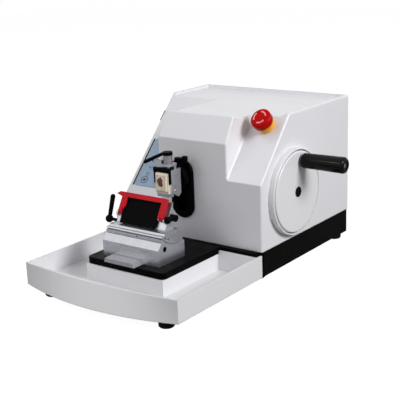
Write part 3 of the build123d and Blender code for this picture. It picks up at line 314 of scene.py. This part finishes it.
# Paraffin: pale, slightly see-through, with a cut face
def waxFinish(look):
    material, shader = newShader("waxCream", look["colour"], look["roughness"])
    shader.inputs["Subsurface Weight"].default_value = look["depth"]
    shader.inputs["Subsurface Radius"].default_value = look["reach"]
    cut = noiseOf(material, look["cutSize"], 3, look["cutLines"])
    clouds = noiseOf(material, look["cloudSize"], 4)
    tone = remap(material, clouds.outputs["Fac"], 0, 1)
    colour = tint(material, tone, look["pale"], look["deep"])
    material.node_tree.links.new(colour, shader.inputs["Base Color"])
    bumpFrom(material, shader, cut.outputs["Fac"], look["grain"], look["grainDepth"], look["edge"])
    return material


# The embedded specimen: brown and fibrous
def tissueFinish(look):
    material, shader = newShader("tissueBrown", look["colour"], look["roughness"])
    fibres = noiseOf(material, look["fibreSize"], 5)
    tone = remap(material, fibres.outputs["Fac"], 0, 1)
    colour = tint(material, tone, look["dark"], look["light"])
    material.node_tree.links.new(colour, shader.inputs["Base Color"])
    bumpFrom(material, shader, fibres.outputs["Fac"], look["grain"], look["grainDepth"])
    return material


finishes["waxCream"] = waxFinish(wax)
finishes["tissueBrown"] = tissueFinish(tissueLook)

nodeFinish = {
    "housingWhite": ["housing_cover", "wheel_ring"],
    "wheelWhite": ["handwheel"],
    "trayWhite": ["waste_tray"],
    "baseBlack": ["base_casting"],
    "castGrey": ["mechanism_frame", "drive_bracket"],
    "plateBlack": ["knife_plate", "pressure_plate"],
    "toolBlack": ["head_socket", "clamp_jaw", "holder_bolt", "drive_motor", "feed_motor"],
    "blackPlastic": ["slot_bezel", "slot_shutter", "hub_cap", "left_lever", "right_lever", "lock_lever",
                     "clamp_lever", "rocker_bezel", "power_rocker", "mains_inlet", "contact_block",
                     "estop_stem"],
    "gripGloss": ["grip"],
    "panelBlue": ["control_panel"],
    "guardRed": ["knife_guard"],
    "stopRed": ["estop_head"],
    "stopYellow": ["estop_collar"],
    "cassetteIvory": ["cassette"],
    "waxCream": ["wax_block"],
    "footRubber": ["base_feet", "tray_feet"],
    "beltRubber": ["drive_belt"],
    "boardGreen": ["control_board"],
    "satinAluminium": ["holder_base", "tilt_segment", "lateral_slide", "clamp_body", "rear_panel",
                       "carriage", "motor_pulley"],
    "groundSteel": ["main_shaft", "crank_disc", "shaft_bearings", "gimbal_block", "grip_axle",
                    "holder_rail", "machine_screws"],
    "mauveSteel": ["clamp_screw"],
    "brightSteel": ["arm", "guide_rails", "feed_screw", "crank_roller"],
    "bladeSteel": ["blade"],
    "zincSheet": ["bottom_plate", "power_supply"],
}
for finish, members in nodeFinish.items():
    for member in members:
        for holder in nodes[member].material_slots:
            holder.material = finishes[finish]
dressed = sum(len(members) for members in nodeFinish.values())
print("finishes on", dressed, "of", len(nodes), "nodes")


# A piece made here: its mesh, its finish and the body that it rides on
def meshPiece(name, vertices, faces, finish, body, smooth=False):
    mesh = bpy.data.meshes.new(name)
    mesh.from_pydata([tuple(v) for v in vertices], [], faces)
    mesh.validate()
    mesh.update()
    piece = bpy.data.objects.new(name, mesh)
    bpy.context.scene.collection.objects.link(piece)
    mesh.materials.append(finishes[finish])
    for polygon in mesh.polygons:
        polygon.use_smooth = smooth
    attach(piece, body)
    return piece


# The faces between closed rows of points
def ringStrip(rows):
    faces = []
    count = len(rows[0])
    for r in range(len(rows) - 1):
        for c in range(count):
            a = r * count + c
            b = r * count + (c + 1) % count
            faces.append((a, b, b + count, a + count))
    return faces


# A plane of the part: its middle, the way its local X and Y run, and its outward normal
def slopeAxes(origin, xWay, normal):
    normal = Vector(normal).normalized()
    xWay = Vector(xWay).normalized()
    yWay = normal.cross(xWay)
    return lambda x, y, z=0.0: origin + xWay * x + yWay * y + normal * z


# The three pale arcs on the emergency stop's head, in metres
stopArrows = {
    "count": 3,
    "radius": 0.0118,
    "halfWidth": 0.0013,
    "spanDegrees": 78,
    "headDegrees": 16,
    "headWidth": 0.0026,
    "lift": 0.0001,
    "thickness": 0.0002,
    "steps": 14,
    "startDegrees": 20,
}


def buildStopArrows(look):
    joint = [j for j in frame["joints"] if j["name"] == "estop_twist"][0]
    outward = Vector(joint["axis"]).normalized()
    corners = [Vector(v.co) for v in nodes["estop_head"].data.vertices]
    pivot = Vector(joint["pos_m"])
    top = max((c - pivot).dot(outward) for c in corners)
    centre = pivot + outward * top
    at = slopeAxes(centre, (1, 0, 0), outward)
    vertices, faces = [], []
    for turn in range(look["count"]):
        start = math.radians(look["startDegrees"] + turn * 360 / look["count"])
        span = math.radians(look["spanDegrees"])
        head = math.radians(look["headDegrees"])
        rows = []
        for step in range(look["steps"] + 1):
            angle = start + span * step / look["steps"]
            left = span - (angle - start)
            wide = look["halfWidth"]
            if left < head:
                wide = look["headWidth"] * left / head
            rows.append((angle, wide))
        first = len(vertices)
        for angle, wide in rows:
            for radius in (look["radius"] - wide, look["radius"] + wide):
                vertices.append(at(radius * math.cos(angle), radius * math.sin(angle), look["lift"]))
        for step in range(look["steps"]):
            a = first + step * 2
            faces.append((a, a + 1, a + 3, a + 2))
    piece = meshPiece("stopArrows", vertices, faces, "arrowPale", "estop_button")
    thick = piece.modifiers.new("thick", "SOLIDIFY")
    thick.thickness = look["thickness"]
    return piece


buildStopArrows(stopArrows)
print("stop arrows made")


slabEdge = 0.0003
weldReach = 0.000002


# A flat-sided block given by its spans in a local frame, with small rounded edges
def slabPiece(name, at, spanX, spanY, spanZ, finish, body):
    corners = [at(x, y, z) for z in spanZ for y in spanY for x in spanX]
    faces = [(0, 2, 3, 1), (4, 5, 7, 6), (0, 1, 5, 4), (2, 6, 7, 3), (0, 4, 6, 2), (1, 3, 7, 5)]
    piece = meshPiece(name, corners, faces, finish, body)
    bevel = piece.modifiers.new("edges", "BEVEL")
    bevel.width = slabEdge
    bevel.segments = 2
    return piece


# A turned piece: a closed outline of (radius, height) points swept round the local Z axis
def turnedPiece(name, at, x, y, outline, finish, body, steps=40):
    rows = []
    for step in range(steps):
        angle = 2 * math.pi * step / steps
        rows.append([(r * math.cos(angle), r * math.sin(angle), z) for r, z in outline])
    rows.append(rows[0])
    vertices = [at(x + px, y + py, pz) for row in rows for px, py, pz in row]
    piece = meshPiece(name, vertices, ringStrip(rows), finish, body, smooth=True)
    weld = piece.modifiers.new("weld", "WELD")
    weld.merge_threshold = weldReach
    return piece


# The foil panel on the left slope: a dark strip along its left edge only (painted shade for the shadow line
# there), key rings and caps, display glass
panel = {
    "angle": 46.5,
    "sill": 25.3,
    "left": -340.5,
    "low": 66.8,
    "length": 112.0,
    "thick": 2.5,
    # gap, width and depth of the black strip that paints the shade line along the panel's left edge
    "shadeStripGap": 3.2,
    "shadeStripWidth": 2.2,
    "shadeStripDepth": (-0.2, 1.4),
    "keyLeft": 20.0,
    "keyLow": 14.0,
    "keyPitchX": 28.0,
    "keyPitchY": 15.0,
    "columns": 3,
    "rows": 4,
    "ring": 5.2,
    "wideRing": 8.5,
    "ringWall": 1.3,
    "coreShare": 0.38,
    "domeRise": 0.6,
    "ringRise": 0.25,
    "sunk": 0.1,
    "capRise": (0.4, 0.35, 0.15),
    "capShoulder": 0.7,
    "glass": (40.0, 86.0, 74.0, 102.0),
    "glassGap": 0.4,
    "glassDepth": (1.5, 2.3),
}


def buildPanel(look):
    lean = math.radians(look["angle"])
    upSlope = Vector((0, math.cos(lean), math.sin(lean)))
    outward = Vector((0, -math.sin(lean), math.cos(lean)))
    origin = place(look["left"], 0, look["sill"]) + upSlope * look["low"] / 1000

    def at(x, y, z):
        return origin + Vector((x / 1000, 0, 0)) + upSlope * y / 1000 + outward * z / 1000

    # A black strip on the left edge only: painted shade where the panel edge's shadow line falls
    shadeStripSpan = (-look["shadeStripGap"] - look["shadeStripWidth"], -look["shadeStripGap"])
    slabPiece("panelShadeStrip", at, shadeStripSpan, (0, look["length"]), look["shadeStripDepth"], "blackPlastic", "base")
    x0, x1, y0, y1 = look["glass"]
    gap = look["glassGap"]
    slabPiece("panelGlass", at, (x0 + gap, x1 - gap), (y0 + gap, y1 - gap), look["glassDepth"],
              "displayGlass", "base")
    face = look["thick"]
    dome = face + look["domeRise"]
    sunk = look["sunk"]
    high, shoulder, side = look["capRise"]
    for row in range(look["rows"]):
        for column in range(look["columns"]):
            x = look["keyLeft"] + column * look["keyPitchX"]
            y = look["keyLow"] + row * look["keyPitchY"]
            wide = row == 0 and column == 0
            ring = look["wideRing"] if wide else look["ring"]
            inner = ring - look["ringWall"]
            label = "key" + str(row) + str(column)
            hoop = [(inner, face - sunk), (inner, face + look["ringRise"]),
                    (ring, face + look["ringRise"]), (ring, face - sunk)]
            turnedPiece(label + "Ring", at, x, y, hoop, "keyDark", "base")
            core = ring * look["coreShare"]
            cap = [(0, dome - sunk), (0, dome + high), (core * look["capShoulder"], dome + shoulder),
                   (core, dome + side), (core, dome - sunk)]
            turnedPiece(label + "Cap", at, x, y, cap, "keyDark", "base")


buildPanel(panel)
print("control panel dressed")


# The embedded tissue: an uneven brown patch that stands a little out of the wax
tissue = {
    "x": -177.9,
    "z": 127.3,
    "face": -66.6,
    "halfX": 7.4,
    "halfZ": 8.6,
    "rise": 0.7,
    "rimSink": 0.15,
    "bump": 0.06,
    "uneven": 0.16,
    "waves": (1, 2, 3, 5, 7),
    "rounds": 5,
    "steps": 36,
    "seed": 5,
}


def buildTissue(look):
    dice = random.Random(look["seed"])
    waves = []
    for turns in look["waves"]:
        waves.append((turns, dice.uniform(0, 2 * math.pi), look["uneven"] / turns ** 0.5))

    def reach(angle):
        return 1 + sum(size * math.sin(turns * angle + start) for turns, start, size in waves)

    vertices = [place(look["x"], look["face"] - look["rise"], look["z"])]
    faces = []
    for ring in range(1, look["rounds"] + 1):
        share = ring / look["rounds"]
        rim = ring == look["rounds"]
        out = look["rise"] * math.sqrt(1 - share ** 2) - (look["rimSink"] if rim else 0)
        for step in range(look["steps"]):
            angle = 2 * math.pi * step / look["steps"]
            bump = 0 if rim else dice.uniform(-look["bump"], look["bump"])
            x = look["x"] + look["halfX"] * share * reach(angle) * math.cos(angle)
            z = look["z"] + look["halfZ"] * share * reach(angle) * math.sin(angle)
            vertices.append(place(x, look["face"] - out + bump, z))
    count = look["steps"]
    for step in range(count):
        faces.append((0, 1 + step, 1 + (step + 1) % count))
    for ring in range(look["rounds"] - 1):
        for step in range(count):
            a = 1 + ring * count + step
            b = 1 + ring * count + (step + 1) % count
            faces.append((a, a + count, b + count, b))
    return meshPiece("tissueSample", vertices, faces, "tissueBrown", "specimen_clamp",
                     smooth=True)


buildTissue(tissue)
print("tissue made")


# Small screws: place, axis, radius and the body that each rides on
smallScrews = {
    "stripScrew": {"place": (-169.5, -149.65, 46.25), "axis": (0, -1, 0), "radius": 1.5,
                   "body": "knife_base"},
    "cradleScrewFront": {"place": (-113.6, -139.0, 48.5), "axis": (1, 0, 0), "radius": 1.5,
                         "body": "tilt_block"},
    "cradleScrewRear": {"place": (-113.6, -131.5, 45.0), "axis": (1, 0, 0), "radius": 1.5,
                        "body": "tilt_block"},
    "wheelBolt": {"place": (13.9, 106.5, 92.0), "axis": (1, 0, 0), "radius": 3.6, "body": "drive"},
}
screwForm = {
    "socket": 0.45,
    "rim": 0.8,
    "floor": 0.1,
    "high": 0.8,
    "shoulder": 0.5,
    "low": -0.4,
    "steps": 24,
}


def buildScrews(looks, form):
    for name, look in looks.items():
        outward = Vector(look["axis"])
        side = Vector((0, 0, 1)).cross(outward).normalized()
        above = outward.cross(side)
        origin = place(*look["place"])

        def at(x, y, z, origin=origin, side=side, above=above, outward=outward):
            return origin + (side * x + above * y + outward * z) / 1000

        r = look["radius"]
        outline = [(r * form["socket"], form["floor"]), (r * form["socket"], form["high"]),
                   (r * form["rim"], form["high"]), (r, form["shoulder"]), (r, form["low"]),
                   (0, form["low"]), (0, form["floor"])]
        turnedPiece(name, at, 0, 0, outline, "toolBlack", look["body"], steps=form["steps"])


buildScrews(smallScrews, screwForm)
print("small screws made")


# Floor, background and lights
studio = {
    "lookAt": (0, 0, 0.12),
    "floorHalf": 6.0,
    "floorColour": (0.12, 0.12, 0.12),
    "floorGlow": 0.96,
    "floorMirrored": 0.3,
    "worldLight": 0.25,
    "worldColour": (0.97, 0.98, 1.0),
    "keyPlace": (2.8, -0.1, 1.8),
    "keySize": 1.3,
    "keyPower": 80.0,
    "fillPlace": (-1.3, -2.3, 2.1),
    "fillSize": 4.5,
    "fillPower": 52.0,
    "rimPlace": (-1.33, -2.35, 1.98),
    "rimSize": 0.4,
    "rimPower": 4.0,
}


def cameraOrMirror(tree):
    path = tree.nodes.new("ShaderNodeLightPath")
    first = tree.nodes.new("ShaderNodeMath")
    first.operation = "MAXIMUM"
    second = tree.nodes.new("ShaderNodeMath")
    second.operation = "MAXIMUM"
    tree.links.new(path.outputs["Is Camera Ray"], first.inputs[0])
    tree.links.new(path.outputs["Is Glossy Ray"], first.inputs[1])
    tree.links.new(first.outputs["Value"], second.inputs[0])
    tree.links.new(path.outputs["Is Transmission Ray"], second.inputs[1])
    return second.outputs["Value"]


def buildFloor(look):
    half = look["floorHalf"]
    mesh = bpy.data.meshes.new("floor")
    corners = [(-half, -half, 0), (half, -half, 0), (half, half, 0), (-half, half, 0)]
    mesh.from_pydata(corners, [], [(0, 1, 2, 3)])
    floor = bpy.data.objects.new("floor", mesh)
    bpy.context.scene.collection.objects.link(floor)
    material = bpy.data.materials.new("paleFloor")
    material.use_nodes = True
    tree = material.node_tree
    tree.nodes.clear()
    out = tree.nodes.new("ShaderNodeOutputMaterial")
    matt = tree.nodes.new("ShaderNodeBsdfDiffuse")
    matt.inputs["Color"].default_value = (*look["floorColour"], 1)
    glow = tree.nodes.new("ShaderNodeEmission")
    path = tree.nodes.new("ShaderNodeLightPath")
    seen = tree.nodes.new("ShaderNodeMath")
    seen.operation = "MULTIPLY"
    seen.inputs[1].default_value = look["floorGlow"]
    tree.links.new(path.outputs["Is Camera Ray"], seen.inputs[0])
    mirrored = tree.nodes.new("ShaderNodeMath")
    mirrored.operation = "MULTIPLY_ADD"
    mirrored.inputs[1].default_value = look["floorMirrored"]
    tree.links.new(path.outputs["Is Glossy Ray"], mirrored.inputs[0])
    tree.links.new(seen.outputs["Value"], mirrored.inputs[2])
    tree.links.new(mirrored.outputs["Value"], glow.inputs["Strength"])
    both = tree.nodes.new("ShaderNodeAddShader")
    tree.links.new(matt.outputs["BSDF"], both.inputs[0])
    tree.links.new(glow.outputs["Emission"], both.inputs[1])
    tree.links.new(both.outputs["Shader"], out.inputs["Surface"])
    mesh.materials.append(material)
    return floor


def buildWorld(look):
    world = bpy.data.worlds.new("studio")
    bpy.context.scene.world = world
    world.use_nodes = True
    tree = world.node_tree
    tree.nodes.clear()
    out = tree.nodes.new("ShaderNodeOutputWorld")
    light = tree.nodes.new("ShaderNodeBackground")
    light.inputs["Color"].default_value = (*look["worldColour"], 1)
    light.inputs["Strength"].default_value = look["worldLight"]
    white = tree.nodes.new("ShaderNodeBackground")
    white.inputs["Color"].default_value = (1, 1, 1, 1)
    white.inputs["Strength"].default_value = 1.0
    mix = tree.nodes.new("ShaderNodeMixShader")
    tree.links.new(cameraOrMirror(tree), mix.inputs["Fac"])
    tree.links.new(light.outputs["Background"], mix.inputs[1])
    tree.links.new(white.outputs["Background"], mix.inputs[2])
    tree.links.new(mix.outputs["Shader"], out.inputs["Surface"])


def softLamp(name, where, size, power, target):
    lamp = bpy.data.lights.new(name, "AREA")
    lamp.shape = "DISK"
    lamp.size = size
    lamp.energy = power
    holder = bpy.data.objects.new(name, lamp)
    bpy.context.scene.collection.objects.link(holder)
    holder.location = where
    holder.visible_camera = False
    holder.rotation_euler = (Vector(target) - Vector(where)).to_track_quat("-Z", "Y").to_euler()
    return holder


buildFloor(studio)
buildWorld(studio)
softLamp("keyLamp", studio["keyPlace"], studio["keySize"], studio["keyPower"], studio["lookAt"])
softLamp("rimLamp", studio["rimPlace"], studio["rimSize"], studio["rimPower"], studio["lookAt"])
fillLamp = softLamp("fillLamp", studio["fillPlace"], studio["fillSize"], studio["fillPower"],
                    studio["lookAt"])
fillLamp.visible_glossy = False


# The photograph's camera: place in millimetres from the same corner, turn, height and roll in degrees
viewpoint = {
    "place": (866.53, -1319.02, 552.05),
    "turn": 37.295,
    "height": 15.855,
    "roll": -2.139,
    "pixels": 911.12,
    "picture": 400,
    "sensor": 36.0,
    "clipEnd": 20,
}


def buildCamera(look):
    turn, height, roll = (math.radians(look[k]) for k in ("turn", "height", "roll"))
    right = Vector((math.cos(turn), math.sin(turn), 0))
    back = Vector((math.sin(turn) * math.cos(height), -math.cos(turn) * math.cos(height), math.sin(height)))
    up = back.cross(right)
    rolledRight = right * math.cos(roll) + up * math.sin(roll)
    rolledUp = up * math.cos(roll) - right * math.sin(roll)
    camera = bpy.data.cameras.new("camera")
    camera.sensor_width = look["sensor"]
    camera.lens = look["pixels"] * look["sensor"] / look["picture"]
    camera.clip_end = look["clipEnd"]
    holder = bpy.data.objects.new("camera", camera)
    bpy.context.scene.collection.objects.link(holder)
    turned = Matrix((rolledRight, rolledUp, back)).transposed().to_4x4()
    holder.matrix_world = Matrix.Translation(place(*look["place"])) @ turned
    bpy.context.scene.camera = holder


buildCamera(viewpoint)
bpy.context.scene.view_settings.view_transform = "Standard"
print("camera, floor and lights made")
